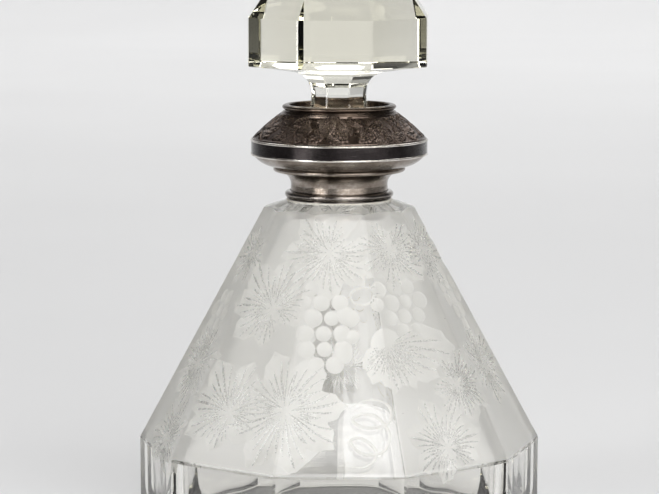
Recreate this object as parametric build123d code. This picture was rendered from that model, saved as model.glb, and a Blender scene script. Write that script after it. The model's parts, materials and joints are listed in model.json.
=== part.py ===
from build123d import *
import os
from math import cos, pi, sqrt

# Cut-glass perfume bottle with a silver neck mount and a faceted glass stopper.
# Millimetres, +Z up, origin at the middle of the foot. The front facet faces -Y.

# Driving dimensions: glass body
BODY_SIDES = 10
BODY_RADIUS = 50.0          # axis to a corner of the straight lower part
BREAK_HEIGHT = 30.0         # where the straight part turns into the sloping facets
SHOULDER_HEIGHT = 88.0      # where the sloping facets end
SHOULDER_RADIUS = 18.7      # axis to a corner of the shoulder
WALL = 3.2
BASE_THICKNESS = 9.0
FOOT_BEVEL = 1.0
KICK_RADIUS = 33.0          # polished hollow under the base
KICK_DEPTH = 2.6
CAVITY_BOTTOM_ROUND = 9.0
CAVITY_CORNER_TRIM = 0.975  # how far the blown inside rounds off its own corners
CAVITY_DROP = WALL * 0.45   # how much lower than outside the inside changes its slope
CAVITY_DOME = ((10.2, 1.9), (6.1, 3.6))   # inside of the shoulder: middle and end, above its edge

# Driving dimensions: glass neck and ground joint, heights above the shoulder
DOME_RISE = 3.48            # low dome over the shoulder, up to where it would meet the axis
NECK_RADIUS = 10.3
NECK_TOP = 21.6
THROAT_RADIUS = 6.1         # bore below the ground joint
PLUG_BOTTOM = 5.0
PLUG_BOTTOM_RADIUS = 6.1
PLUG_TAPER = 0.05           # growth of the radius per millimetre of height
GROUND_CLEARANCE = 0.06

# Driving dimensions: stopper, heights above the shoulder
STOPPER_SIDES = 8
STOPPER_FLAT = 21.8         # axis to a flat of the head
HEAD_BOTTOM = 35.2
HEAD_BREAK = 47.1           # top of the vertical band
HEAD_TOP = 72.0
TABLE_FLAT = 5.8            # axis to a flat of the small top table
STEM_FLAT = 6.7
STEM_FOOT_FLAT = 7.15
STEM_WAIST = 28.2
SWEEP_MIDDLE = (7.75, 31.4)  # hollow curve from the stem out under the head
SWEEP_END = (11.5, 33.7)
PLUG_TOP = 22.4
STEM_FOOT_TOP = 24.0
PLUG_END_BEVEL = 0.6

# Driving dimensions: silver mount, heights above the shoulder
SHEET = 0.7                 # silver sheet
SEAM = 0.05                 # soldered or cemented seam, left as a hair gap
FERRULE_RADIUS = 12.0
FERRULE_FOOT_SPREAD = 0.2
BEAD_RADIUS = 13.5
BEAD_FLAT_RADIUS = 12.6     # where the bead's half-round starts
BEAD_INSIDE = FERRULE_RADIUS + FERRULE_FOOT_SPREAD + 0.02
FLARE_RADIUS = 3.3          # hollow curve from the sleeve out to the stepped ring
STEP_RADIUS = 16.4
STEP_INSIDE = 14.0
PAN_INSIDE = 14.6
PAN_FOOT_RADIUS = 16.0
PAN_EDGE_RADIUS = 21.3
GIRDLE_INSIDE = 21.0
GIRDLE_RADIUS = 21.85
GIRDLE_SHEET = 0.3
WIRE_RADIUS = 0.3
WIRE_SINK = 0.15            # how far the wires sit in from the face of the girdle
FRIEZE_FOOT_RADIUS = 21.6
FRIEZE_INSIDE_FOOT = 20.7
FRIEZE_TOP_RADIUS = 14.15
RIM_RADIUS = 13.25          # middle of the rolled rim
RIM_HALF_WIDTH = 0.85
RIM_TOP = 25.5
STOPPER_HOLE_RADIUS = 8.3

FERRULE_BOTTOM = 2.2
BEAD_BOTTOM = 2.1
BEAD_TOP = 4.2
STEP_BOTTOM = 8.9
FLARE_MIDDLE = (FERRULE_RADIUS + FLARE_RADIUS, STEP_BOTTOM - FLARE_RADIUS)
STEP_TOP = 10.2
PAN_TOP = 13.0
GIRDLE_BOTTOM = PAN_TOP + 2 * WIRE_RADIUS
GIRDLE_TOP = 16.4
FRIEZE_BOTTOM = GIRDLE_TOP + 2 * WIRE_RADIUS
FRIEZE_TOP = 23.5
FRIEZE_INSIDE_TOP = 22.6
RIM_BOTTOM = 22.4
THROAT_LIP = 24.2           # outer edge of the dished plate, top side
THROAT_LIP_UNDER = 23.1
THROAT_HOLE = 22.45
THROAT_HOLE_UNDER = 21.8
PLASTER_BOTTOM = 2.7
PLASTER_TOP = 22.35
PLASTER_NECK_TOP = 21.4

# Middles of the curves of the mount, as (radius, height above the shoulder)
PAN_CURVE = (19.4, 11.25)
PAN_INSIDE_CURVE = (18.9, 11.85)
FRIEZE_CURVE = (18.75, 20.1)
FRIEZE_INSIDE_CURVE = (18.0, 19.6)
THROAT_CURVE = (11.1, 22.95)
THROAT_UNDER_CURVE = (11.3, 22.3)
PLASTER_PAN_CURVE = (18.85, 11.92)
PLASTER_FRIEZE_CURVE = (17.9, 19.55)

# Ends of the inner curves
PAN_INSIDE_FOOT = 15.4
PAN_INSIDE_EDGE = 20.5
PLASTER_PAN_FOOT = 15.35
PLASTER_PAN_EDGE = 20.4
PLASTER_GIRDLE = 20.95
PLASTER_FRIEZE_FOOT = 20.6
PLASTER_FRIEZE_TOP = 14.1
PLASTER_RIM = 12.2


def outline(*pieces):
    """Closed face in the (radius, height) plane from lines and arcs laid end to end."""
    return Plane.XZ * make_face(Curve() + list(pieces))


def ring(*pieces):
    """Solid turned about the axis from an outline."""
    return revolve(outline(*pieces), Axis.Z)


def half_to_pair(*pieces):
    """Face made of a right-hand half outline, from axis to axis, and its mirror image."""
    half = Curve() + list(pieces)
    return Plane.XZ * make_face(half + mirror(half, Plane.YZ))


def faceted(pair, sides, first_turn):
    """Regular prism-like solid whose flats all follow one outline: each opposite pair of flats
    is one straight extrusion, and the solid is what all the extrusions have in common."""
    reach = 4 * BODY_RADIUS
    slab = extrude(pair, reach, both=True)
    body = Rotation(0, 0, first_turn) * slab
    for turn in range(1, sides // 2):
        body = body & (Rotation(0, 0, first_turn + turn * 360 / sides) * slab)
    return body


def above_shoulder(piece):
    return Pos(0, 0, SHOULDER_HEIGHT) * piece


def glass_body():
    to_flat = cos(pi / BODY_SIDES)
    flat = BODY_RADIUS * to_flat
    shoulder_flat = SHOULDER_RADIUS * to_flat
    slope = (BODY_RADIUS - SHOULDER_RADIUS) / (SHOULDER_HEIGHT - BREAK_HEIGHT)
    top = SHOULDER_HEIGHT + DOME_RISE
    top_flat = shoulder_flat - DOME_RISE * slope * to_flat

    outside = faceted(half_to_pair(Polyline(
        (0, 0), (flat - FOOT_BEVEL, 0), (flat, FOOT_BEVEL), (flat, BREAK_HEIGHT),
        (top_flat, top), (0, top))), BODY_SIDES, 90)
    dome_radius = SHOULDER_RADIUS ** 2 / (2 * DOME_RISE)
    dome = Pos(0, 0, top - dome_radius) * Sphere(dome_radius)
    below_shoulder = Pos(0, 0, SHOULDER_HEIGHT / 2) * Cylinder(2 * BODY_RADIUS, SHOULDER_HEIGHT)
    outside = outside & (below_shoulder + dome)

    neck = above_shoulder(Cylinder(NECK_RADIUS, NECK_TOP,
                                   align=(Align.CENTER, Align.CENTER, Align.MIN)))
    outside = outside + neck

    # The inside follows the facets, with its corners and bottom rounded by blowing.
    inner_flat = flat - WALL
    inner_top_flat = shoulder_flat - WALL
    bottom = BASE_THICKNESS
    shelf = SHOULDER_HEIGHT - CAVITY_DROP
    flats = faceted(half_to_pair(
        Polyline((0, bottom), (inner_flat - CAVITY_BOTTOM_ROUND, bottom)),
        RadiusArc((inner_flat - CAVITY_BOTTOM_ROUND, bottom),
                  (inner_flat, bottom + CAVITY_BOTTOM_ROUND), -CAVITY_BOTTOM_ROUND),
        Polyline((inner_flat, bottom + CAVITY_BOTTOM_ROUND), (inner_flat, BREAK_HEIGHT - CAVITY_DROP),
                 (inner_top_flat, shelf), (0, shelf))), BODY_SIDES, 90)
    widest = inner_flat / to_flat * CAVITY_CORNER_TRIM
    narrow = inner_top_flat / to_flat * CAVITY_CORNER_TRIM
    round_top = (narrow, shelf - 1)
    dome_middle, dome_end = [(radius, shelf + rise) for radius, rise in CAVITY_DOME]
    dome_space = 2 * (dome_end[1] - shelf)
    blown = ring(
        Polyline((0, bottom), (widest, bottom), (widest, BREAK_HEIGHT - CAVITY_DROP), round_top),
        ThreePointArc(round_top, dome_middle, dome_end),
        Polyline(dome_end, (0, dome_end[1]), (0, bottom)))
    shoulder_round = blown & (Pos(0, 0, shelf) * Cylinder(inner_top_flat, dome_space))
    cavity = (blown & flats) + shoulder_round

    bore_bottom = SHOULDER_HEIGHT + PLUG_BOTTOM
    bore_top = SHOULDER_HEIGHT + NECK_TOP
    bore_low_radius = PLUG_BOTTOM_RADIUS + GROUND_CLEARANCE
    bore_high_radius = bore_low_radius + PLUG_TAPER * (NECK_TOP - PLUG_BOTTOM)
    bore = ring(Polyline(
        (0, shelf), (THROAT_RADIUS, shelf), (THROAT_RADIUS, bore_bottom - 1),
        (bore_low_radius, bore_bottom), (bore_high_radius, bore_top), (0, bore_top), (0, shelf)))

    kick_sphere = (KICK_RADIUS ** 2 + KICK_DEPTH ** 2) / (2 * KICK_DEPTH)
    kick = Pos(0, 0, KICK_DEPTH - kick_sphere) * Sphere(kick_sphere)
    return outside - cavity - bore - kick


def stopper():
    head = faceted(half_to_pair(
        Polyline((0, PLUG_TOP), (STEM_FOOT_FLAT, PLUG_TOP), (STEM_FOOT_FLAT, STEM_FOOT_TOP),
                 (STEM_FLAT, STEM_WAIST)),
        ThreePointArc((STEM_FLAT, STEM_WAIST), SWEEP_MIDDLE, SWEEP_END),
        Polyline(SWEEP_END, (STOPPER_FLAT, HEAD_BOTTOM), (STOPPER_FLAT, HEAD_BREAK),
                 (TABLE_FLAT, HEAD_TOP), (0, HEAD_TOP))), STOPPER_SIDES, 0)
    plug_top_radius = PLUG_BOTTOM_RADIUS + PLUG_TAPER * (PLUG_TOP - PLUG_BOTTOM)
    plug = ring(Polyline(
        (0, PLUG_BOTTOM), (PLUG_BOTTOM_RADIUS - PLUG_END_BEVEL, PLUG_BOTTOM),
        (PLUG_BOTTOM_RADIUS, PLUG_BOTTOM + PLUG_END_BEVEL), (plug_top_radius, PLUG_TOP),
        (0, PLUG_TOP), (0, PLUG_BOTTOM)))
    return above_shoulder(head + plug)


def flare_arc(radius, end_height):
    """Hollow quarter curve of the flare, from its lowest point up to a height, and its end."""
    middle_radius, middle_height = FLARE_MIDDLE
    rise = end_height - middle_height
    end = (middle_radius - sqrt(radius ** 2 - rise ** 2), end_height)
    return RadiusArc((middle_radius - radius, middle_height), end, radius), end


def neck_ferrule():
    """Sleeve round the neck that flares out under the stepped ring."""
    waist = FLARE_MIDDLE[1]
    inside = FERRULE_RADIUS - SHEET
    outer_arc, outer_end = flare_arc(FLARE_RADIUS, STEP_BOTTOM)
    inner_arc, inner_end = flare_arc(FLARE_RADIUS + SHEET, STEP_BOTTOM)
    return above_shoulder(ring(
        Polyline((inside, waist), (inside + FERRULE_FOOT_SPREAD, FERRULE_BOTTOM),
                 (FERRULE_RADIUS + FERRULE_FOOT_SPREAD, FERRULE_BOTTOM), (FERRULE_RADIUS, waist)),
        outer_arc, Line(outer_end, inner_end), inner_arc))


def bead_ring():
    """Half-round bead at the foot of the sleeve, standing on the glass shoulder."""
    start = (BEAD_FLAT_RADIUS, BEAD_BOTTOM)
    end = (BEAD_FLAT_RADIUS, BEAD_TOP)
    return above_shoulder(ring(
        Line((BEAD_INSIDE, BEAD_BOTTOM), start),
        ThreePointArc(start, (BEAD_RADIUS, (BEAD_BOTTOM + BEAD_TOP) / 2), end),
        Polyline(end, (BEAD_INSIDE, BEAD_TOP), (BEAD_INSIDE, BEAD_BOTTOM))))


def step_ring():
    """Ring with a half-round edge between the flare and the pan."""
    half_height = (STEP_TOP - STEP_BOTTOM) / 2
    edge = STEP_RADIUS - half_height
    return above_shoulder(ring(
        Line((STEP_INSIDE, STEP_BOTTOM), (edge, STEP_BOTTOM)),
        ThreePointArc((edge, STEP_BOTTOM), (STEP_RADIUS, STEP_BOTTOM + half_height),
                      (edge, STEP_TOP)),
        Polyline((edge, STEP_TOP), (STEP_INSIDE, STEP_TOP), (STEP_INSIDE, STEP_BOTTOM))))


def lower_pan():
    """Raised dish that carries the girdle out from the stepped ring."""
    foot = (PAN_FOOT_RADIUS, STEP_TOP)
    edge = (PAN_EDGE_RADIUS, PAN_TOP)
    inside_edge = (PAN_INSIDE_EDGE, PAN_TOP)
    inside_foot = (PAN_INSIDE_FOOT, STEP_TOP + SHEET)
    return above_shoulder(ring(
        Line((PAN_INSIDE, STEP_TOP), foot),
        ThreePointArc(foot, PAN_CURVE, edge),
        Line(edge, inside_edge),
        ThreePointArc(inside_edge, PAN_INSIDE_CURVE, inside_foot),
        Polyline(inside_foot, (PAN_INSIDE, STEP_TOP + SHEET), (PAN_INSIDE, STEP_TOP))))


def girdle_band():
    """Smooth band round the widest part, with a narrower flange behind each edge wire."""
    flange = GIRDLE_INSIDE + GIRDLE_SHEET
    return above_shoulder(ring(Polyline(
        (GIRDLE_INSIDE, PAN_TOP), (flange, PAN_TOP), (flange, GIRDLE_BOTTOM),
        (GIRDLE_RADIUS, GIRDLE_BOTTOM), (GIRDLE_RADIUS, GIRDLE_TOP),
        (flange, GIRDLE_TOP), (flange, FRIEZE_BOTTOM), (GIRDLE_INSIDE, FRIEZE_BOTTOM),
        (GIRDLE_INSIDE, PAN_TOP))))


def edge_wire(middle_height):
    """Thin round wire along one edge of the girdle."""
    middle = (GIRDLE_RADIUS - WIRE_SINK, middle_height)
    section = Plane.XZ * Pos(*middle) * Circle(WIRE_RADIUS)
    return above_shoulder(revolve(section, Axis.Z))


def chased_frieze():
    """Sloping convex band that carries the chased vine pattern."""
    foot = (FRIEZE_FOOT_RADIUS, FRIEZE_BOTTOM)
    top = (FRIEZE_TOP_RADIUS, FRIEZE_TOP)
    inside_top = (FRIEZE_TOP_RADIUS, FRIEZE_INSIDE_TOP)
    inside_foot = (FRIEZE_INSIDE_FOOT, FRIEZE_BOTTOM)
    return above_shoulder(ring(
        ThreePointArc(foot, FRIEZE_CURVE, top),
        Line(top, inside_top),
        ThreePointArc(inside_top, FRIEZE_INSIDE_CURVE, inside_foot),
        Line(inside_foot, foot)))


def rolled_rim():
    """Upright rim with a rounded top, standing inside the upper edge of the frieze."""
    inner = RIM_RADIUS - RIM_HALF_WIDTH
    outer = RIM_RADIUS + RIM_HALF_WIDTH
    shoulder = RIM_TOP - RIM_HALF_WIDTH
    return above_shoulder(ring(
        Polyline((inner, shoulder), (inner, RIM_BOTTOM), (outer, RIM_BOTTOM), (outer, shoulder)),
        ThreePointArc((outer, shoulder), (RIM_RADIUS, RIM_TOP), (inner, shoulder))))


def throat_pan():
    """Dished plate inside the rim, with the hole that the stopper passes through."""
    outer = RIM_RADIUS - RIM_HALF_WIDTH - SEAM
    lip = (outer, THROAT_LIP)
    lip_under = (outer, THROAT_LIP_UNDER)
    hole = (STOPPER_HOLE_RADIUS, THROAT_HOLE)
    hole_under = (STOPPER_HOLE_RADIUS, THROAT_HOLE_UNDER)
    return above_shoulder(ring(
        ThreePointArc(lip, THROAT_CURVE, hole),
        Line(hole, hole_under),
        ThreePointArc(hole_under, THROAT_UNDER_CURVE, lip_under),
        Line(lip_under, lip)))


def plaster_bedding():
    """Plaster that fills the hollow mount and holds it on the glass neck."""
    neck_side = NECK_RADIUS + SEAM
    sleeve_side = FERRULE_RADIUS - SHEET - SEAM
    step_side = STEP_INSIDE - SEAM
    above_step = STEP_BOTTOM + SEAM
    above_pan = STEP_TOP + SHEET + SEAM
    flare, flare_end = flare_arc(FLARE_RADIUS + SHEET + SEAM, above_step)
    pan_foot = (PLASTER_PAN_FOOT, above_pan)
    pan_edge = (PLASTER_PAN_EDGE, PAN_TOP)
    frieze_foot = (PLASTER_FRIEZE_FOOT, FRIEZE_BOTTOM - SEAM)
    frieze_top = (PLASTER_FRIEZE_TOP, PLASTER_TOP)
    return above_shoulder(ring(
        Polyline((neck_side, PLASTER_BOTTOM), (sleeve_side, PLASTER_BOTTOM),
                 (sleeve_side, FLARE_MIDDLE[1])),
        flare,
        Polyline(flare_end, (step_side, above_step), (step_side, above_pan), pan_foot),
        ThreePointArc(pan_foot, PLASTER_PAN_CURVE, pan_edge),
        Polyline(pan_edge, (PLASTER_GIRDLE, PAN_TOP), (PLASTER_GIRDLE, FRIEZE_BOTTOM - SEAM),
                 frieze_foot),
        ThreePointArc(frieze_foot, PLASTER_FRIEZE_CURVE, frieze_top),
        Polyline(frieze_top, (PLASTER_RIM, PLASTER_TOP), (neck_side, PLASTER_NECK_TOP),
                 (neck_side, PLASTER_BOTTOM))))


PIECES = {
    "glass_body": glass_body,
    "stopper": stopper,
    "plaster_bedding": plaster_bedding,
    "neck_ferrule": neck_ferrule,
    "bead_ring": bead_ring,
    "step_ring": step_ring,
    "lower_pan": lower_pan,
    "lower_wire": lambda: edge_wire(PAN_TOP + WIRE_RADIUS),
    "girdle_band": girdle_band,
    "upper_wire": lambda: edge_wire(GIRDLE_TOP + WIRE_RADIUS),
    "chased_frieze": chased_frieze,
    "rolled_rim": rolled_rim,
    "throat_pan": throat_pan,
}

os.makedirs("parts", exist_ok=True)
for name, make in PIECES.items():
    export_step(make(), f"parts/{name}.step")
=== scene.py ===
import json
import math

import bpy
import numpy as np
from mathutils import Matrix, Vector
from mathutils.geometry import delaunay_2d_cdt

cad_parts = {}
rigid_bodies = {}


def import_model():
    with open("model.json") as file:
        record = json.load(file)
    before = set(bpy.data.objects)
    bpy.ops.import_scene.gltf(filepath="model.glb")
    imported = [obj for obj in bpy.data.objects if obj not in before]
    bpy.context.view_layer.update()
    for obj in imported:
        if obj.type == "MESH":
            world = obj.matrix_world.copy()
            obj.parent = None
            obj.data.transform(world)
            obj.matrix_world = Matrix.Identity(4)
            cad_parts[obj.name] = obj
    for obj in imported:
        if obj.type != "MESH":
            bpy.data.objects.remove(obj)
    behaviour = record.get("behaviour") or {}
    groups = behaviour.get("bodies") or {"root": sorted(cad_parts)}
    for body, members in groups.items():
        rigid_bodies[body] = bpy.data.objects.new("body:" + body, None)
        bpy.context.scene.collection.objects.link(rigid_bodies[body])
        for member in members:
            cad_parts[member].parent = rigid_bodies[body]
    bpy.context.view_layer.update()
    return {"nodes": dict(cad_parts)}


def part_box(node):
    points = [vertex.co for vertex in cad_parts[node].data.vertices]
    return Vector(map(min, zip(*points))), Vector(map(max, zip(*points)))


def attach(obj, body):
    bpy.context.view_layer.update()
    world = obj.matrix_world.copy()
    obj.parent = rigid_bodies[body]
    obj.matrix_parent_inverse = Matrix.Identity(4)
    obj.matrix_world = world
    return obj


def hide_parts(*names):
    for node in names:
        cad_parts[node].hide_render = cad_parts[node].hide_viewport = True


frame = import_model()

MM = 0.001

# --------------------------------------
# Sizes. The frame gives the outside; the rest is worked out from it.
# The glass is drawn in millimetres and scaled once, when its mesh is made.
# --------------------------------------

body_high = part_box("glass_body")[1]
stopper_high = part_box("stopper")[1]

SIDES = 10
HALF_SIDE = math.pi / SIDES
CORNER = body_high.x / MM                    # axis to a corner of the straight part
FLAT = CORNER * math.cos(HALF_SIDE)          # axis to a flat
NECK_TOP = 21.6                              # lip of the glass neck above the shoulder
SHOULDER = body_high.z / MM - NECK_TOP
BREAK = 30.0                                 # height where the slope starts
SHOULDER_FLAT = 18.7 * math.cos(HALF_SIDE)
DOME_RISE = 3.48
DOME_RADIUS = 18.7 ** 2 / (2 * DOME_RISE)
NECK_RADIUS = 10.3
WALL = 3.2
BASE_THICKNESS = 9.0
FOOT_BEVEL = 1.0
KICK_RADIUS = 33.0
KICK_DEPTH = 2.6
PLUG_BOTTOM = 5.0
BORE_LOW_RADIUS = 6.16
BORE_TAPER = 0.05

STOPPER_TURN = math.radians(-3.0)   # it was put in slightly turned

SLANT = math.hypot(FLAT - SHOULDER_FLAT, SHOULDER - BREAK)
SINK = (FLAT - SHOULDER_FLAT) / SLANT        # inwards per millimetre up the slope
RISE = (SHOULDER - BREAK) / SLANT            # upwards per millimetre up the slope
APEX = FLAT / SINK                           # up the slope to where the facets would meet
FAN = math.atan(math.tan(HALF_SIDE) * SINK)  # half the angle of a facet, laid flat
FACETS = range(-4, 6)                        # facet 0 faces the front, 1 is to its right
EDGE = 0.35                                  # width of the polished edge on each side
TOP_LIMIT = 64.7                             # the cutting stops here, below the shoulder
DOME_EDGE = 65.0                             # about where the facets meet the shoulder's dome
GUARD = 0.6                                  # helper lines of the triangulation, beside the fan
WINDOW_LEFT = -6.0                           # the polished window in the front facet
WINDOW_TOP = 50.0
NECK_FILLET = 0.9                            # between the shoulder and the neck
LIP_ROUND = 0.5
BORE_CHAMFER = 0.3
SEAT_STEP = 0.06                             # the bore is this much narrower below the seat
WALL_DROP = 0.45                             # the inside follows the outside this much lower
BASE_ROUNDING = 9.0                          # between the wall and the bottom, inside


# --------------------------------------
# The facets laid flat: a fan about the slope's apex, with the straight part
# hanging below each facet. home = facet, u = to its right, w = up the slope.
# --------------------------------------

def to_net(home, points):
    points = np.asarray(points, float).reshape(-1, 2)
    turn = 2 * FAN * home
    x = points[:, 0]
    y = points[:, 1] - APEX
    return np.stack([x * math.cos(turn) - y * math.sin(turn),
                     x * math.sin(turn) + y * math.cos(turn)], 1)


def from_net(points):
    """Facet, u and w of points on the flat fan."""
    turn = np.arctan2(points[:, 0], -points[:, 1])
    home = np.clip(np.round(turn / (2 * FAN)), FACETS[0], FACETS[-1])
    back = -2 * FAN * home
    u = points[:, 0] * np.cos(back) - points[:, 1] * np.sin(back)
    w = points[:, 0] * np.sin(back) + points[:, 1] * np.cos(back) + APEX
    return home, u, w


def flat_at(w):
    return FLAT - SINK * np.maximum(w, 0)


def height_at(w):
    return BREAK + np.where(w > 0, RISE * w, w)


def dome_height(radius):
    return SHOULDER + DOME_RISE - DOME_RADIUS + np.sqrt(DOME_RADIUS ** 2 - radius ** 2)


def azimuth(home):
    return -math.pi / 2 + 2 * HALF_SIDE * home


def place(home, u, w):
    """Points in space, in millimetres, of points on the facets."""
    angle = azimuth(home)
    out = flat_at(w)
    return np.stack([out * np.cos(angle) - u * np.sin(angle),
                     out * np.sin(angle) + u * np.cos(angle), height_at(w)], 1)


def facet_normals(home, w):
    angle = azimuth(home)
    slope = np.clip(0.5 + w / (2 * RIDGE_BLEND), 0, 1)
    across = 1 - slope * (1 - RISE)
    normals = np.stack([across * np.cos(angle), across * np.sin(angle), slope * SINK], 1)
    return normals / np.linalg.norm(normals, axis=1)[:, None]


def top_of(angle):
    """How far up the slope a facet meets the dome, at an angle from its middle."""
    low, high = 55.0, 70.0
    for _ in range(40):
        middle = (low + high) / 2
        radius = flat_at(middle) / math.cos(angle)
        if height_at(middle) < dome_height(radius):
            low = middle
        else:
            high = middle
    return low


def border_angles(flat, steps=24):
    """Angles across a facet, with one at each side of the polished edges."""
    strip = math.atan((flat * math.tan(HALF_SIDE) - EDGE) / flat)
    return np.concatenate([[-HALF_SIDE], np.linspace(-strip, strip, steps - 1), [HALF_SIDE]])


# --------------------------------------
# The wheel-cut vine: leaves, grapes, stems and tendrils, in the flat fan
# --------------------------------------

LEAF_LOBES = ((0, 1.0), (45, 0.93), (-45, 0.93), (92, 0.86), (-92, 0.86), (138, 0.7), (-138, 0.7))
LOBE_HALF_WIDTH = 36.0
LEAF_SLOPE = 0.14          # the floor of a leaf falls away from its edge like a shallow roof
LEAF_DEEPEST = 0.42
LEAF_STEP = 0.03           # depth of the cut right inside the edge
LEAF_RAMP = 0.22
GROOVE_SLOPE = 0.23        # depth of a groove for half of its width
SATIN = 0.76               # mattness of the ground between the leaves
STROKE_SATIN = 0.6         # and of the grooves inside the leaves
RIDGE_BLEND = 1.5          # the cutting turns to face the ridge between two facets this near to it
GRAPE_DEPTH = 0.3
GRAPE_STEP = 0.06
STROKE_WIDTHS = (0.62, 0.42, 0.36, 0.3)    # the middle vein and the strokes beside it
STROKE_TURNS = (0, 10, 19, 27)             # how far each is turned from the middle vein
STROKE_ENDS = (0.95, 0.82, 0.64, 0.44)      # how far each reaches, for the length of the lobe

leaves = []                # outlines
strokes = []               # (points, half widths)
grapes = []                # (centre, radius)


def within_fan(centre, points):
    """Pulls points towards a centre until they lie below the shoulder and inside the fan's ends."""
    points = points.copy()
    for _ in range(60):
        home, u, w = from_net(points)
        reach = flat_at(w) * math.tan(HALF_SIDE) - 2 * EDGE
        over = w > TOP_LIMIT
        over |= (home == FACETS[-1]) & (u > reach)
        over |= (home == FACETS[0]) & (u < -reach)
        points[over] = centre + (points[over] - centre) * 0.97
    return points


def stroke(home, path, width):
    """A V-groove that tapers at both ends."""
    path = to_net(home, path)
    path = within_fan(path[0], path)
    along = np.linspace(0, 1, len(path))
    half = width / 2 * np.clip(np.minimum(along, 1 - along) * 6, 0, 1) ** 0.7
    strokes.append((path, half))


def line_from(centre, angle, near, far, bend=0.0, steps=7):
    """A slightly bent ray from near to far."""
    t = np.linspace(0, 1, steps)
    r = near + (far - near) * t
    a = math.radians(angle) + bend * t * t
    return np.stack([centre[0] + r * np.cos(a), centre[1] + r * np.sin(a)], 1)


def leaf_reach(angles, lobes):
    """Distance of a toothed leaf outline from its middle, for angles in degrees."""
    reach = np.full(len(angles), 0.34)
    for middle, size in lobes:
        off = np.abs((angles - middle + 180) % 360 - 180) / LOBE_HALF_WIDTH
        lobe = size * (1 - 0.52 * np.clip(off, 0, 1) ** 1.35)
        lobe *= 1 - 0.06 * np.abs(np.sin(off * math.pi * 2.5))
        reach = np.maximum(reach, np.where(off < 1, lobe, 0))
    return reach


def leaf(home, u, w, size, heading, lobes=LEAF_LOBES, stem=1.2):
    """A toothed leaf with fine grooves fanning into each lobe. heading is where its tip points."""
    centre = np.array([u, w])
    angles = np.arange(0, 360, 2.25)
    reach = leaf_reach(angles, lobes) * size
    turned = np.radians(angles + heading)
    outline = centre + reach[:, None] * np.stack([np.cos(turned), np.sin(turned)], 1)
    net_centre = to_net(home, centre)[0]
    leaves.append(within_fan(net_centre, to_net(home, outline)))
    thick = 0.75 + 0.018 * size
    for n, (middle, share) in enumerate(lobes):
        bend = 0.1 if n % 2 else -0.1
        for turn, width, end in zip(STROKE_TURNS, STROKE_WIDTHS, STROKE_ENDS):
            for side in ((-1, 1) if turn else (1,)):
                angle = middle + heading + side * turn
                near = size * (0.05 if turn == 0 else 0.1 + 0.004 * turn)
                uneven = 1 + 0.1 * math.sin(1.9 * turn + 2.7 * n * side + size)
                far = min(1.0, end * uneven) * share * size * 0.97
                stroke(home, line_from(centre, angle, near, far, bend + side * 0.004 * turn),
                       width * thick)
    if stem:
        stroke(home, line_from(centre, heading + 180, 0.02 * size, stem * size, 0.2, 12),
               0.7 * thick)


def grape(home, u, w, radius):
    grapes.append((to_net(home, (u, w))[0], radius))


def bunch(home, u, w, rows, radius, lean=0.0):
    """Grapes in rows that get shorter downwards, with its top in the middle at (u, w)."""
    pitch = 2.06 * radius
    for row, count in enumerate(rows):
        for n in range(count):
            shift = (n - (count - 1) / 2) * pitch + lean * row
            uneven = 1 + 0.1 * math.sin(3.1 * n + 1.7 * row + u)
            grape(home, u + shift, w - row * pitch * 0.88, radius * uneven * 0.97)


def tendril(home, u, w, loops, across, tall, pitch, drift, width=0.55, start=-0.6):
    """A curl that winds downwards in overlapping loops."""
    t = np.linspace(start * math.pi, loops * 2 * math.pi, int(loops * 34) + 12)
    turns = t / (2 * math.pi)
    path = np.stack([u + drift * turns + across * np.sin(t),
                     w - pitch * turns + tall * np.cos(t)], 1)
    stroke(home, path, width)


BIG_LOBES = ((0, 1.0), (42, 0.9), (-42, 0.84), (86, 0.86), (-86, 0.86), (132, 0.82),
             (-132, 0.84), (176, 0.8))
FOLDED_LOBES = ((-8, 1.6), (-38, 1.25), (-68, 1.0), (-98, 0.98), (-128, 0.86), (-152, 0.7))
# Places (u, w) that the two tendrils of the front facet wind through, in millimetres
CURL = ((2.0, 16.0), (4.8, 17.9), (7.9, 18.5), (10.9, 17.6), (12.3, 15.3), (11.2, 12.6),
        (7.6, 11.6), (4.4, 12.3), (3.0, 13.8), (5.3, 14.9), (8.3, 14.6), (10.9, 11.9),
        (11.8, 9.4), (10.9, 6.5), (9.0, 5.3), (6.4, 5.1), (4.0, 6.2), (2.5, 8.3), (4.4, 9.2),
        (6.9, 8.0), (8.6, 5.8), (8.3, 3.9), (7.0, 2.6), (4.6, 1.9), (2.0, 2.4))
SMALL_CURL = ((9.0, 47.2), (7.2, 46.5), (5.0, 46.4), (3.0, 45.4), (2.6, 43.9), (3.9, 42.4),
              (6.0, 42.2), (7.9, 43.2), (8.3, 44.7), (10.2, 45.6))


def curl(home, knots, width):
    """A smooth tendril through a list of places on a facet."""
    knots = np.array(knots)
    knots = np.concatenate([2 * knots[:1] - knots[1:2], knots, 2 * knots[-1:] - knots[-2:-1]])
    path = []
    for a, b, c, d in zip(knots, knots[1:], knots[2:], knots[3:]):
        for t in np.linspace(0, 1, 6, endpoint=False):
            path.append(0.5 * (2 * b + (c - a) * t + (2 * a - 5 * b + 4 * c - d) * t * t
                               + (3 * b - a - 3 * c + d) * t ** 3))
    path.append(knots[-2])
    stroke(home, path, width)


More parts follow.
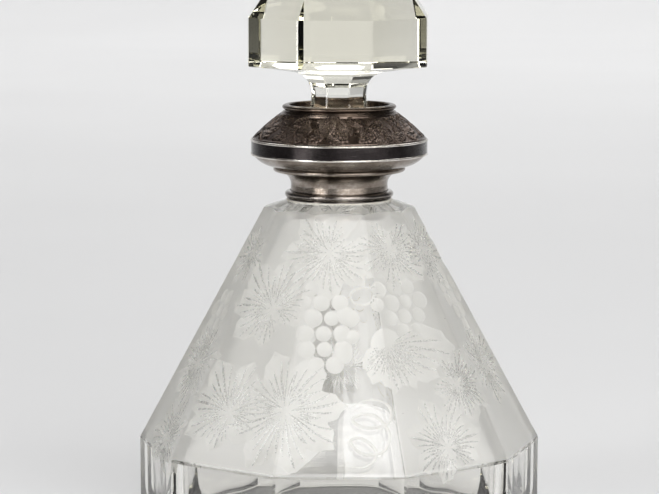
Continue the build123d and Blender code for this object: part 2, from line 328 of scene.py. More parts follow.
def cut_vine():
    # Round the front
    leaf(0, -2.3, 55.6, 14.2, 222, stem=1.0)
    leaf(0, -12.9, 16.0, 18.6, 188, BIG_LOBES, stem=0)
    leaf(1, -0.7, 5.3, 13.6, 110, stem=0)
    leaf(1, -9.7, 32.0, 12.6, 0, FOLDED_LOBES, stem=0)
    leaf(2, -1.7, 55.0, 13.0, 285, stem=1.1)
    leaf(-1, 1.0, 40.5, 14.4, 130, stem=0)
    leaf(1, -0.6, 56.2, 12.6, 262, stem=0)
    leaf(-2, 1.5, 54.0, 10.4, 250)
    leaf(-2, -0.5, 23.0, 14.6, 20)
    leaf(-2, 4.0, 3.0, 13.5, 80, stem=0)
    leaf(1, 7.4, 20.5, 11.5, 330, stem=0)
    leaf(2, 3.0, 22.0, 13.8, 150)
    bunch(0, -4.6, 46.6, (2, 3, 4, 3, 3, 2), 2.15, 0.25)
    for u, w, radius in ((1.3, 39.6, 2.3), (3.0, 34.1, 1.8), (0.8, 29.6, 2.35)):
        grape(0, u, w, radius)
    bunch(1, -3.4, 46.0, (3, 4, 3, 2), 2.05, 0.5)
    bunch(-2, -1.0, 41.0, (2, 3, 2), 2.0)
    bunch(2, 1.5, 44.5, (3, 3, 2, 1), 2.0)
    curl(0, CURL, 0.8)
    curl(0, SMALL_CURL, 0.62)
    tendril(-1, 5.2, 58.5, 1.2, 2.2, 1.6, 2.4, 0.6, 0.5)
    leaf(-1, -3.0, 13.5, 15.0, 120, stem=0)

    # Round the sides and the back: the same vine, uneven like handwork
    for n, home in enumerate((3, 4, 5, -4, -3)):
        sway = math.sin(2.3 * n + 0.4)
        if n % 2 == 0:
            leaf(home, 1.5 * sway, 14.0 + 1.5 * sway, 14.6, 90 + 70 * sway, stem=0)
            leaf(home, -1.5 * sway, 48.5, 11.6, 240 + 60 * sway, stem=0)
            bunch(home, 4.0 * sway, 36.0, (2, 3, 4, 2), 2.0, 0.3)
        else:
            leaf(home, -1.0 * sway, 34.5, 13.6, 150 + 80 * sway, stem=0)
            leaf(home, 1.0 * sway, 56.5, 9.6, 270 + 40 * sway, stem=0)
            bunch(home, -4.0 * sway, 20.0, (3, 4, 3, 2, 1), 2.1, 0.2)
            tendril(home, 7.0, 13.0, 1.8, 3.4, 2.2, 4.2, -0.6, 0.6)


def off_line(points, path):
    """Distance of each point from a path, and how far along the path its nearest place is."""
    a, b = path[:-1], path[1:]
    run = b - a
    t = ((points[:, None] - a) * run).sum(2) / np.maximum((run ** 2).sum(1), 1e-12)
    t = np.clip(t, 0, 1)
    gap = np.linalg.norm(points[:, None] - (a + t[..., None] * run), axis=2)
    best = gap.argmin(1)
    rows = np.arange(len(points))
    return gap[rows, best], best + t[rows, best]


def is_inside(points, outline):
    x, y = points[:, 0][:, None], points[:, 1][:, None]
    x0, y0 = outline.T
    x1, y1 = np.roll(outline, -1, 0).T
    crosses = (y0 > y) != (y1 > y)
    at = x0 + (y - y0) * (x1 - x0) / np.where(y1 == y0, 1e-12, y1 - y0)
    return (crosses & (x < at)).sum(1) % 2 == 1


def near_box(points, low, high, margin=0.6):
    return np.flatnonzero(((points > low - margin) & (points < high + margin)).all(1))


def cutting(points):
    """How deep the cutting is at each point of the fan, and how matt: 0 polished, 1 matt."""
    floor = np.zeros(len(points))
    groove = np.zeros(len(points))
    matt = np.zeros(len(points))
    for outline in leaves:
        some = near_box(points, outline.min(0), outline.max(0))
        if not len(some):
            continue
        closed = np.concatenate([outline, outline[:1]])
        gap = off_line(points[some], closed)[0]
        inside = is_inside(points[some], outline) & (gap > 1e-4)
        fall = LEAF_STEP * np.clip(gap / LEAF_RAMP, 0, 1) + LEAF_SLOPE * gap
        depth = np.where(inside, np.minimum(fall, LEAF_DEEPEST), 0)
        floor[some] = np.maximum(floor[some], depth)
        matt[some] = np.maximum(matt[some], inside * 1.0)
    for centre, radius in grapes:
        some = near_box(points, centre - radius, centre + radius)
        share = np.linalg.norm(points[some] - centre, axis=1) / radius
        dish = (GRAPE_DEPTH * np.clip(1 - share ** 2, 0, 1)
                + GRAPE_STEP * np.clip((1 - share) * 8, 0, 1))
        floor[some] = np.maximum(floor[some], dish)
        matt[some] = np.maximum(matt[some], (share < 0.999) * 1.0)
    for path, half in strokes:
        some = near_box(points, path.min(0), path.max(0))
        if not len(some):
            continue
        gap, along = off_line(points[some], path)
        wide = np.interp(along, np.arange(len(half)), half)
        depth = GROOVE_SLOPE * np.maximum(wide - gap, 0)
        groove[some] = np.maximum(groove[some], depth)
        hit = some[depth > 1e-4]
        matt[hit] = np.where(matt[hit] > 0, STROKE_SATIN, 1.0)
    return floor + groove, matt


class Net:
    """Points and lines for the triangulation of the fan."""

    def __init__(self):
        self.points = []
        self.lines = []

    def line(self, points, closed=False):
        first = len(self.points)
        self.points.extend(Vector((float(x), float(y))) for x, y in points)
        last = len(self.points) - 1
        self.lines.extend((n, n + 1) for n in range(first, last))
        if closed:
            self.lines.append((last, first))

    def facet(self, home):
        """Outline of a facet, with lines beside its edges for the polished bevel."""
        angles = border_angles(flat_at(DOME_EDGE))
        tops = np.array([top_of(a) for a in angles])
        self.line(to_net(home, np.stack([flat_at(tops) * np.tan(angles), tops], 1)))
        angles = border_angles(FLAT)
        low = FOOT_BEVEL - BREAK
        # the second line is outside the glass, and only keeps slivers away from the first
        for level in (low, low - GUARD):
            across = np.stack([FLAT * np.tan(angles), np.full(len(angles), level)], 1)
            self.line(to_net(home, across))
        for inset, top in ((0, tops[0]), (EDGE, tops[1])):
            up = np.linspace(0, top, 17)
            down = np.linspace(low, 0, 7)
            for side in (-1, 1):
                slope = flat_at(up) * math.tan(HALF_SIDE) - inset
                self.line(to_net(home, np.stack([side * slope, up], 1)))
                half = np.full(len(down), FLAT * math.tan(HALF_SIDE) - inset)
                self.line(to_net(home, np.stack([side * half, down], 1)))
        for end, side in ((FACETS[0], -1), (FACETS[-1], 1)):
            if home == end:       # beside the fan, for the same reason
                w = np.linspace(low - GUARD, tops[0] + 2, 30)
                u = side * (flat_at(w) * math.tan(HALF_SIDE) + GUARD)
                self.line(to_net(home, np.stack([u, w], 1)))
        for w in (-EDGE, 0, EDGE):
            half = flat_at(w) * math.tan(HALF_SIDE)
            self.line(to_net(home, [(-half, w), (half, w)]))

    def vine(self):
        for outline in leaves:
            self.line(outline, closed=True)
            middle = outline.mean(0)
            reach = np.linalg.norm(outline - middle, axis=1)[:, None]
            inner = middle + (outline - middle) * (1 - 1.6 * LEAF_RAMP / reach)
            self.line(inner, closed=True)
        for centre, radius in grapes:
            for share, count in ((1, 40), (0.86, 40), (0.62, 24), (0.34, 12)):
                turn = np.arange(count) * 2 * math.pi / count
                ring = centre + share * radius * np.stack([np.cos(turn), np.sin(turn)], 1)
                self.line(ring, closed=True)
            self.points.append(Vector(centre))
        for path, half in strokes:
            run = np.gradient(path, axis=0)
            run /= np.maximum(np.linalg.norm(run, axis=1), 1e-9)[:, None]
            sideways = np.stack([-run[:, 1], run[:, 0]], 1) * half[:, None]
            self.line(path)
            self.line(path + sideways)
            self.line(path - sideways)


# --------------------------------------
# Meshes
# --------------------------------------

WELD = 0.002               # points this near to each other become one


class Solid:
    """Collects faces by their corner points, which are merged where they coincide."""

    def __init__(self):
        self.points = []
        self.lookup = {}
        self.faces = []
        self.cut = []

    def corner(self, point):
        key = tuple(np.round(np.asarray(point, float) * 2000).astype(int))
        if key not in self.lookup:
            self.lookup[key] = len(self.points)
            self.points.append(tuple(float(c) for c in point))
        return self.lookup[key]

    def face(self, corners, cut=0.0):
        used = []
        for c in corners:
            if not used or (c != used[-1] and c != used[0]):
                used.append(c)
        if len(used) > 2:
            self.faces.append(used)
            self.cut.append(cut)

    def ring(self, points):
        return [self.corner(p) for p in points]

    def between(self, low, high, cut=0.0):
        """Faces between two rings. cut is one value, or one for each face."""
        count = len(low)
        cut = np.broadcast_to(cut, (count,))
        for n in range(count):
            after = (n + 1) % count
            self.face([low[n], low[after], high[after], high[n]], float(cut[n]))

    def fan_in(self, ring, point, cut=0.0):
        middle = self.corner(point)
        for n, a in enumerate(ring):
            self.face([a, ring[(n + 1) % len(ring)], middle], cut)


def circle(radius, z, turns):
    return [(radius * math.cos(t), radius * math.sin(t), z) for t in turns]


def make_piece(name, solid, material, body, replaces, sharp_degrees=9.0, points=None):
    mesh = bpy.data.meshes.new(name)
    at = np.array(solid.points if points is None else points) * MM
    mesh.from_pydata(at.tolist(), [], solid.faces)
    cut = mesh.attributes.new("cut", "FLOAT", "FACE")
    cut.data.foreach_set("value", np.array(solid.cut, np.float32))
    mesh.validate()
    mesh.materials.append(material)
    piece = bpy.data.objects.new(name, mesh)
    bpy.context.scene.collection.objects.link(piece)
    for other in bpy.context.scene.objects:
        other.select_set(False)
    bpy.context.view_layer.objects.active = piece
    piece.select_set(True)
    bpy.ops.object.mode_set(mode="EDIT")
    bpy.ops.mesh.select_all(action="SELECT")
    bpy.ops.mesh.remove_doubles(threshold=WELD * MM)
    bpy.ops.mesh.delete_loose(use_verts=True, use_edges=True, use_faces=False)
    bpy.ops.mesh.select_all(action="SELECT")
    bpy.ops.mesh.normals_make_consistent(inside=False)
    bpy.ops.object.mode_set(mode="OBJECT")
    piece.select_set(False)
    mesh.polygons.foreach_set("use_smooth", np.ones(len(mesh.polygons), bool))
    mesh.set_sharp_from_angle(angle=math.radians(sharp_degrees))
    if replaces:
        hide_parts(replaces)
    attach(piece, body)
    return piece


def break_corner(home):
    """Where a ridge meets the edge between the slope and the straight part."""
    angle = azimuth(home + 0.5)
    return np.array([CORNER * math.cos(angle), CORNER * math.sin(angle), BREAK])


def soften_edges(points):
    """Flattens each edge between two facets to a narrow polished bevel."""
    on_slope, on_side = np.array([9.0]), np.array([-9.0])      # w well away from the edge
    planes = []
    for home in FACETS:
        through = break_corner(home)
        slope, side = facet_normals(home, on_slope), facet_normals(home, on_side)
        pairs = ((slope, facet_normals(home + 1, on_slope)),
                 (side, facet_normals(home + 1, on_side)), (slope, side))
        for first, second in pairs:
            middle = (first + second)[0]
            middle /= np.linalg.norm(middle)
            inset = EDGE * math.sin(math.acos(min(1.0, float(first[0] @ middle))))
            planes.append((middle, float(through @ middle) - inset))
    for normal, reach in planes:
        over = np.maximum(points @ normal - reach, 0)
        points = points - over[:, None] * normal
    return points


def smaller(a, b, soft):
    """The smaller of two values, rounded where they cross."""
    h = np.clip(0.5 + 0.5 * (b - a) / soft, 0, 1)
    return b * (1 - h) + a * h - soft * h * (1 - h)


def cavity_profile():
    """(height, distance of the flats, radius of the round blank) up the inside."""
    inner = FLAT - WALL
    drop = WALL * WALL_DROP
    inner_top = SHOULDER_FLAT - WALL
    shelf = SHOULDER - drop
    turn_at = BREAK - drop
    rounding = BASE_ROUNDING
    levels = []
    for t in np.linspace(0.04, math.pi / 2, 16):
        levels.append((BASE_THICKNESS + rounding * (1 - math.cos(t)),
                       inner - rounding * (1 - math.sin(t))))
    levels += [(z, inner) for z in np.linspace(BASE_THICKNESS + rounding, turn_at, 8)[1:]]
    levels += [(z, inner + (inner_top - inner) * (z - turn_at) / (shelf - turn_at))
               for z in np.linspace(turn_at, shelf - 1, 44)[1:]]
    return levels


def glass_body_piece(material):
    cut_vine()
    net = Net()
    for home in FACETS:
        net.facet(home)
    net.vine()
    points, _, triangles, *_ = delaunay_2d_cdt(net.points, net.lines, [], 0, 1e-4)
    flat_points = np.array([tuple(p) for p in points])
    corners = np.array(triangles)
    middles = flat_points[corners].mean(1)
    home, u, w = from_net(middles)
    out = flat_at(w)
    on_facet = (np.abs(u) < out * math.tan(HALF_SIDE)) & (w > FOOT_BEVEL - BREAK)
    radius = np.minimum(np.hypot(out, u), DOME_RADIUS)
    on_facet &= height_at(w) < dome_height(radius)
    a, b, c = (flat_points[corners[:, n]] for n in range(3))
    area = np.abs(np.cross(b - a, c - a))
    on_facet &= area > 1e-7
    matt = cutting(middles)[1]
    polished = (w < 0) | ((home == 0) & (u > WINDOW_LEFT) & (w < WINDOW_TOP))
    matt = np.where((matt == 0) & ~polished, SATIN, matt)
    depth = cutting(flat_points)[0]
    homes, us, ws = from_net(flat_points)
    outside = place(homes, us, ws)

    solid = Solid()
    index = [solid.corner(p) for p in outside]
    for n in np.flatnonzero(on_facet):
        solid.face([index[c] for c in corners[n]], float(matt[n]))

    # Shoulder dome, neck, lip and bore, then the inside down to its bottom
    angles = border_angles(flat_at(DOME_EDGE))[:-1]
    around = np.concatenate([azimuth(h) + angles for h in FACETS])
    tops = np.array([top_of(a) for a in angles])
    edge = np.concatenate([place(np.full(len(tops), h), flat_at(tops) * np.tan(angles), tops)
                           for h in FACETS])
    edge_radius = np.hypot(edge[:, 0], edge[:, 1])

    def turned(radius, z):
        radius = np.broadcast_to(radius, around.shape)
        z = np.broadcast_to(z, around.shape)
        return np.stack([radius * np.cos(around), radius * np.sin(around), z], 1)

    before = solid.ring(edge)
    root = NECK_RADIUS + NECK_FILLET
    for share in np.linspace(0, 1, 9)[1:]:
        radius = edge_radius + (root - edge_radius) * share
        now = solid.ring(turned(radius, dome_height(radius)))
        solid.between(before, now)
        before = now
    lip = SHOULDER + NECK_TOP
    root_z = float(dome_height(root))
    bore_top = BORE_LOW_RADIUS + BORE_TAPER * (NECK_TOP - PLUG_BOTTOM)
    profile = [(NECK_RADIUS + NECK_FILLET * (1 - math.sin(t)),
                root_z + NECK_FILLET * (1 - math.cos(t)) * 0.7, 0)
               for t in np.linspace(0, math.pi / 2, 7)[1:]]
    profile += [(NECK_RADIUS, z, 0) for z in np.linspace(root_z + 1.6, lip - LIP_ROUND, 5)]
    profile += [(NECK_RADIUS - LIP_ROUND + LIP_ROUND * math.cos(t),
                 lip - LIP_ROUND + LIP_ROUND * math.sin(t), 0)
                for t in np.linspace(0, math.pi / 2, 8)[1:]]
    profile += [(bore_top + BORE_CHAMFER, lip, 0), (bore_top - 0.01, lip - BORE_CHAMFER, 1)]
    profile += [(BORE_LOW_RADIUS + BORE_TAPER * h, SHOULDER + PLUG_BOTTOM + h, 1)
                for h in (12.0, 8.0, 4.0, 0.0)]
    throat = (BORE_LOW_RADIUS - SEAT_STEP, SHOULDER + PLUG_BOTTOM - 1)
    profile += [(*throat, 0)]
    for radius, z, matt_here in profile:
        now = solid.ring(turned(radius, z))
        solid.between(before, now, matt_here)
        before = now

    to_middle = np.tile(angles, len(FACETS))
    levels = cavity_profile()
    high_z, high_flat = levels[-1]
    bend = np.array((throat[0] + 3.8, SHOULDER + 1.0))
    low_throat = np.array((throat[0], SHOULDER + 2.2))
    rounded = [(1 - t) ** 2 * low_throat + 2 * t * (1 - t) * bend
               + t * t * np.array((high_flat, high_z)) for t in np.linspace(0, 1, 14)[:-1]]
    for n, (radius, z) in enumerate(rounded):
        now = solid.ring(turned(radius, z))
        solid.between(before, now)
        before = now
    for z, flat in reversed(levels):
        facets = flat / np.cos(to_middle)
        blank = flat / math.cos(HALF_SIDE) * 0.978
        radius = smaller(facets, blank, 1.2)
        fade = min(1.0, max(0.0, (high_z - z) / 10))
        radius = flat + (radius - flat) * fade
        waves = (0.05 * np.sin(5 * around + 0.09 * z) + 0.04 * np.sin(13 * around - 0.13 * z + 1)
                 + 0.025 * np.sin(29 * around + 0.06 * z + 2) + 0.03 * math.sin(0.31 * z))
        now = solid.ring(turned(radius + waves * fade, z))
        solid.between(before, now)
        before = now
    bottom_radius = np.linalg.norm(np.array([solid.points[c][:2] for c in before]), axis=1)
    for share in (0.8, 0.55, 0.3, 0.1):
        now = solid.ring(turned(bottom_radius * share, BASE_THICKNESS - 0.05 * (1 - share)))
        solid.between(before, now)
        before = now
    solid.fan_in(before, (0, 0, BASE_THICKNESS - 0.06))

    # Foot: bevel, standing ring and the polished hollow under it
    angles = border_angles(FLAT)[:-1]
    around = np.concatenate([azimuth(h) + angles for h in FACETS])
    foot = FLAT / np.cos(np.tile(angles, len(FACETS)))
    before = solid.ring(turned(foot, FOOT_BEVEL))
    shrink = (FLAT - FOOT_BEVEL) / FLAT
    sphere = (KICK_RADIUS ** 2 + KICK_DEPTH ** 2) / (2 * KICK_DEPTH)
    rings = [(foot * shrink, 0.0)]
    for share in np.linspace(1, 0.06, 14):
        radius = KICK_RADIUS * share
        rings.append((radius, KICK_DEPTH - sphere + math.sqrt(sphere ** 2 - radius ** 2)))
    for radius, z in rings:
        now = solid.ring(turned(radius, z))
        solid.between(before, now)
        before = now
    solid.fan_in(before, (0, 0, KICK_DEPTH))

    # Soft edges, then the cutting, both on the outside only
    at = np.array(solid.points)
    radius = np.hypot(at[:, 0], at[:, 1])
    on_outside = np.zeros(len(at), bool)
    on_outside[index] = True
    low_shoulder = (at[:, 2] < SHOULDER + 0.8) & (radius > 14) & (at[:, 2] > SHOULDER - 0.6)
    foot_corner = (at[:, 2] <= FOOT_BEVEL) & (radius > KICK_RADIUS + 1)
    soft = on_outside | low_shoulder | foot_corner
    soft &= ~((at[:, 2] > BASE_THICKNESS) & (radius < 14))
    at[soft] = soften_edges(at[soft])
    deep = np.zeros(len(at))
    inward = np.zeros_like(at)
    half = flat_at(ws) * math.tan(HALF_SIDE)
    lean = np.clip(1 - (half - np.abs(us)) / RIDGE_BLEND, 0, 1) * np.sign(us) / 2
    normals = facet_normals(homes + lean, ws)
    for n, c in enumerate(index):
        deep[c] = depth[n]
        inward[c] += normals[n]
    inward /= np.maximum(np.linalg.norm(inward, axis=1), 1e-9)[:, None]
    at -= inward * deep[:, None]
    return make_piece("engraved_glass_body", solid, material, "bottle", "glass_body",
                      points=at)


def stopper_piece(material):
    """Eight cut flats with narrow bevels between them, from the table down to the ground plug."""
    sides = 8
    half_side = math.pi / sides
    base = SHOULDER
    table = stopper_high.z / MM - base
    sweep = [(6.7, 28.2), (6.95, 30.0), (7.35, 31.0), (7.95, 31.95), (8.8, 32.75), (9.9, 33.35),
             (11.2, 33.72)]
    outline = [(0.0, table), (5.55, table), (5.8, table - 0.22), (21.7, 47.25), (21.8, 47.05),
               (21.8, 35.35), (21.6, 35.18)] + list(reversed(sweep)) + [(6.78, 26.4), (7.15, 24.0),
                                                                       (7.15, 22.9)]
    per_side = 6
    solid = Solid()

    def cut_ring(flat, z):
        bevel = min(0.24, 0.04 * flat)
        half = flat * math.tan(half_side) - bevel
        points = []
        for side in range(sides):
            angle = side * 2 * half_side + STOPPER_TURN
            for v in np.linspace(-half, half, per_side):
                points.append((flat * math.cos(angle) - v * math.sin(angle),
                               flat * math.sin(angle) + v * math.cos(angle), z + base))
        return points

    def round_ring(radius, z):
        count = sides * per_side
        turns = (np.arange(count) - (per_side - 1) / 2) * 2 * math.pi / count + STOPPER_TURN
        return circle(radius, z + base, turns)

    before = solid.ring(cut_ring(outline[1][0], outline[1][1]))
    solid.fan_in(before, (0, 0, table + base))
    for flat, z in outline[2:]:
        now = solid.ring(cut_ring(flat, z))
        solid.between(before, now)
        before = now
    plug = [(6.95, 22.35, 0.0), (6.93, 21.6, 1.0), (6.55, 14.0, 1.0), (6.13, 5.6, 1.0),
            (5.9, 5.15, 0.5), (5.5, 5.0, 0.5)]
    for radius, z, matt in plug:
        now = solid.ring(round_ring(radius, z))
        solid.between(before, now, matt)
        before = now
    solid.fan_in(before, (0, 0, PLUG_BOTTOM + base), 0.5)
    return make_piece("cut_stopper", solid, material, "stopper_body", "stopper")


# --------------------------------------
# Chased frieze of the silver mount
# --------------------------------------

CHASED_REPEATS = 11
CHASED_TALL = 0.3            # from the ground to the highest place of the chasing
CHASED_SUNK = 0.18           # and how far the ground lies below the band's outline
FRIEZE_TOP_RADIUS = 14.15
FRIEZE_BULGE = 0.25
FRIEZE_THICKNESS = 0.9
FRIEZE_OUT, FRIEZE_UP = 0.67, 0.74    # the direction that the band faces

def relief(around, across):
    """Height of the chasing, from 0 to 1, at turns round the mount and places across the band."""
    cell = around * CHASED_REPEATS / (2 * math.pi) + 0.35
    x = (cell % 1 - 0.5) * 2
    flip = np.where(np.floor(cell) % 2 == 0, 1.0, -1.0)
    y = (across - 0.5) * 2 * flip
    high = np.zeros_like(x)

    def dome(cx, cy, rx, ry, tall):
        inside = 1 - ((x - cx) / rx) ** 2 - ((y - cy) / ry) ** 2
        return tall * np.sqrt(np.clip(inside, 0, 1))

    def blade(cx, cy, turn, length, width):
        """A pointed blade with a middle rib and slanting cuts, growing from a place."""
        along = ((x - cx) * math.cos(turn) + (y - cy) * math.sin(turn)) / length
        aside = np.abs((y - cy) * math.cos(turn) - (x - cx) * math.sin(turn)) / width
        body = np.clip((1 - (2 * along - 1) ** 2 - aside) / 0.14, 0, 1)
        cuts = 0.5 + 0.5 * np.cos(2 * math.pi * (along * length - aside * width * 0.9) / 0.17)
        rib = np.clip(1 - aside / 0.12, 0, 1)
        return body * np.clip(0.35 + 0.6 * cuts ** 1.5 - 0.5 * rib, 0, 1)

    for cx, cy, size, turns in ((-0.45, -0.3, 0.95, (-40, 12, 62, 112, 165, 215)),
                                (0.72, 0.35, 0.7, (20, 80, 140, 200, 262)),
                                (0.12, 0.62, 0.55, (100, 160, 215)),
                                (-0.75, 0.75, 0.5, (200, 260, 330))):
        for turn in turns:
            high = np.maximum(high, blade(cx, cy, math.radians(turn), size, 0.2 * size + 0.05))
    # fruit
    for cx, cy in ((0.22, 0.12), (0.4, 0.16), (0.28, -0.12), (0.46, -0.1), (0.36, -0.38),
                   (0.2, -0.36), (0.54, -0.34), (0.32, -0.64), (0.5, -0.6)):
        high = np.maximum(high, dome(cx, cy, 0.1, 0.14, 0.95))
    # matted ground with small punch marks
    grain = np.sin(around * 331 + 2 * np.sin(across * 37)) * np.sin(across * 61 + around * 57)
    return high + 0.16 * grain * (high < 0.2)


def frieze_piece(material):
    low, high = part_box("chased_frieze")
    z_low, z_high = low.z / MM, high.z / MM
    bottom_radius = high.x / MM
    rows, columns = 56, 900
    around = np.arange(columns) * 2 * math.pi / columns
    solid = Solid()

    def arc(share, inset):
        """Convex outer line of the band, moved inwards by an inset."""
        start = np.array((bottom_radius - inset, z_low))
        end = np.array((FRIEZE_TOP_RADIUS, z_high - inset))
        bulge = FRIEZE_BULGE * 4 * share * (1 - share)
        point = start + (end - start) * share
        return point + bulge * np.array((FRIEZE_OUT, FRIEZE_UP))

    before = None
    first = None
    for row in range(rows + 1):
        share = row / rows
        radius, z = arc(share, 0.0)
        border = min(1.0, min(share, 1 - share) / 0.06)
        chased = relief(around, np.full(columns, share))
        ridge = max(0.0, 1 - abs(min(share - 0.035, 0.965 - share)) / 0.025)
        chased = np.maximum(chased, 1.3 * ridge)
        tall = (np.minimum(chased, 1) * CHASED_TALL - CHASED_SUNK) * border
        points = np.stack([(radius + tall * FRIEZE_OUT) * np.cos(around),
                           (radius + tall * FRIEZE_OUT) * np.sin(around),
                           z + tall * FRIEZE_UP], 1)
        now = solid.ring(points)
        if before:
            solid.between(before, now, chased)
        else:
            first = now
        before = now
    for share in np.linspace(1, 0, 9):
        radius, z = arc(share, FRIEZE_THICKNESS)
        now = solid.ring(circle(radius, z, around))
        solid.between(before, now)
        before = now
    solid.between(before, first)
    return make_piece("chased_silver_frieze", solid, material, "bottle", "chased_frieze",
                      sharp_degrees=60)


def turned_piece(name, outline, material, body, replaces, columns=180):
    """A ring turned from a closed outline of (radius, height) in millimetres."""
    solid = Solid()
    around = np.arange(columns) * 2 * math.pi / columns
    rings = [solid.ring(circle(radius, z, around)) for radius, z in outline]
    for before, now in zip(rings, rings[1:] + rings[:1]):
        solid.between(before, now)
    return make_piece(name, solid, material, body, replaces, sharp_degrees=40)


def half_round(middle, radius, first, last, steps=7):
    """Points of an arc about a middle, between two angles in degrees."""
    turns = np.radians(np.linspace(first, last, steps))
    return [(middle[0] + radius * math.cos(t), middle[1] + radius * math.sin(t)) for t in turns]


def rim_piece(material):
    """The rolled rim: a lip that overhangs a narrow groove above the frieze."""
    low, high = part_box("rolled_rim")
    outer, top, bottom = high.x / MM, high.z / MM, low.z / MM
    inner = outer - 1.7
    outline = [(inner, bottom), (outer - 0.02, bottom), (outer - 0.02, top - 1.85),
               (outer - 0.12, top - 1.7), (outer - 0.5, top - 1.6), (outer - 0.62, top - 1.35),
               (outer - 0.5, top - 1.15)]
    outline += half_round((outer - 0.5, top - 0.62), 0.5, -80, 80, 8)
    outline += [(outer - 0.6, top - 0.03), (outer - 0.95, top)]
    outline += half_round((inner + 0.4, top - 0.4), 0.4, 90, 180, 5)
    return turned_piece("rolled_lip", outline, material, "bottle", "rolled_rim")


def foot_piece(material):
    """The bead at the foot of the sleeve, with a thin fillet under it."""
    low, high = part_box("bead_ring")
    outer, top, bottom = high.x / MM, high.z / MM, low.z / MM
    inner = outer - 1.28
    outline = [(inner, bottom), (outer - 0.75, bottom)]
    outline += half_round((outer - 0.6, bottom + 0.16), 0.15, -80, 80, 6)
    outline += [(outer - 0.72, bottom + 0.33)]
    outline += half_round((outer - 0.86, top - 0.89), 0.86, -78, 80, 12)
    outline += [(outer - 0.95, top - 0.03), (inner, top)]
    return turned_piece("foot_bead", outline, material, "bottle", "bead_ring")


def plaster_seam(material):
    """Plaster pressed out between the foot of the mount and the glass shoulder."""
    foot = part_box("bead_ring")[0].z / MM
    radii = np.linspace(10.9, 13.1, 6)
    outline = [(r, foot - 0.02) for r in radii]
    outline += [(r, float(dome_height(r)) + 0.02) for r in radii[::-1]]
    outline = [(r, min(z, foot - 0.02)) for r, z in outline]
    return turned_piece("plaster_seam", outline, material, "bottle", None)


# --------------------------------------
# Materials
# --------------------------------------

class Nodes:
    """Short names for building a material's nodes."""

    def __init__(self, name):
        self.material = bpy.data.materials.new(name)
        self.material.use_nodes = True
        self.tree = self.material.node_tree
        self.shader = self.tree.nodes["Principled BSDF"]
        self.output = self.tree.nodes["Material Output"]

    def add(self, kind, **values):
        node = self.tree.nodes.new(kind)
        for key, value in values.items():
            if hasattr(node, key):
                setattr(node, key, value)
            else:
                node.inputs[key.replace("_", " ")].default_value = value
        return node

    def join(self, source, target):
        self.tree.links.new(source, target)

    def object_place(self, scale=(1, 1, 1)):
        place = self.add("ShaderNodeTexCoord")
        mapping = self.add("ShaderNodeMapping")
        mapping.inputs["Scale"].default_value = scale
        self.join(place.outputs["Object"], mapping.inputs["Vector"])
        return mapping.outputs["Vector"]

    def noise(self, place, scale, detail=3.0, rough=0.5):
        node = self.add("ShaderNodeTexNoise")
        node.inputs["Scale"].default_value = scale
        node.inputs["Detail"].default_value = detail
        node.inputs["Roughness"].default_value = rough
        self.join(place, node.inputs["Vector"])
        return node.outputs["Fac"]

    def remap(self, value, low, high, to_low, to_high):
        node = self.add("ShaderNodeMapRange")
        for key, number in (("From Min", low), ("From Max", high),
                            ("To Min", to_low), ("To Max", to_high)):
            node.inputs[key].default_value = number
        self.join(value, node.inputs["Value"])
        return node.outputs["Result"]

    def math(self, operation, a, b):
        node = self.add("ShaderNodeMath")
        node.operation = operation
        for socket, value in zip(node.inputs, (a, b)):
            if isinstance(value, (int, float)):
                socket.default_value = value
            else:
                self.join(value, socket)
        return node.outputs["Value"]

    def ramp(self, value, stops):
        node = self.add("ShaderNodeValToRGB")
        ramp = node.color_ramp
        while len(ramp.elements) < len(stops):
            ramp.elements.new(0.5)
        for element, (at, colour) in zip(ramp.elements, stops):
            element.position = at
            element.color = (*colour, 1)
        self.join(value, node.inputs["Fac"])
        return node.outputs["Color"]

    def bump(self, height, distance):
        node = self.add("ShaderNodeBump")
        node.inputs["Strength"].default_value = 1.0
        node.inputs["Distance"].default_value = distance
        self.join(height, node.inputs["Height"])
        self.join(node.outputs["Normal"], self.shader.inputs["Normal"])


def glass(name, tint, clearness):
    """Lead glass: polished, with matt cutting where the face attribute says so."""
    n = Nodes(name)
    n.shader.inputs["IOR"].default_value = 1.53
    place = n.object_place()
    cut = n.add("ShaderNodeAttribute", attribute_name="cut").outputs["Fac"]
    grain = n.noise(place, 2600, 4, 0.6)
    handling = n.noise(place, 90, 5, 0.6)
    n.join(n.remap(cut, 0.0, 1.0, 1.0, 0.6), n.shader.inputs["Transmission Weight"])
    base = n.remap(handling, 0.35, 0.75, 0.0, 0.02)
    matt = n.math("MULTIPLY", cut, n.remap(grain, 0.3, 0.7, 0.36, 0.52))
    n.join(n.math("ADD", base, matt), n.shader.inputs["Roughness"])
    n.join(n.ramp(cut, ((0.0, (0.995, 0.99, 0.98)), (1.0, (0.99, 0.98, 0.94)))),
           n.shader.inputs["Base Color"])
    polish = n.noise(n.object_place((1, 1, 0.6)), 55, 2)
    marks = n.math("MULTIPLY", cut, n.math("MULTIPLY", grain, 0.12))
    n.bump(n.math("ADD", n.math("MULTIPLY", polish, 0.5), marks), 0.00006)
    volume = n.add("ShaderNodeVolumeAbsorption")
    volume.inputs["Color"].default_value = (*tint, 1)
    volume.inputs["Density"].default_value = clearness
    n.join(volume.outputs["Volume"], n.output.inputs["Volume"])
    return n.material


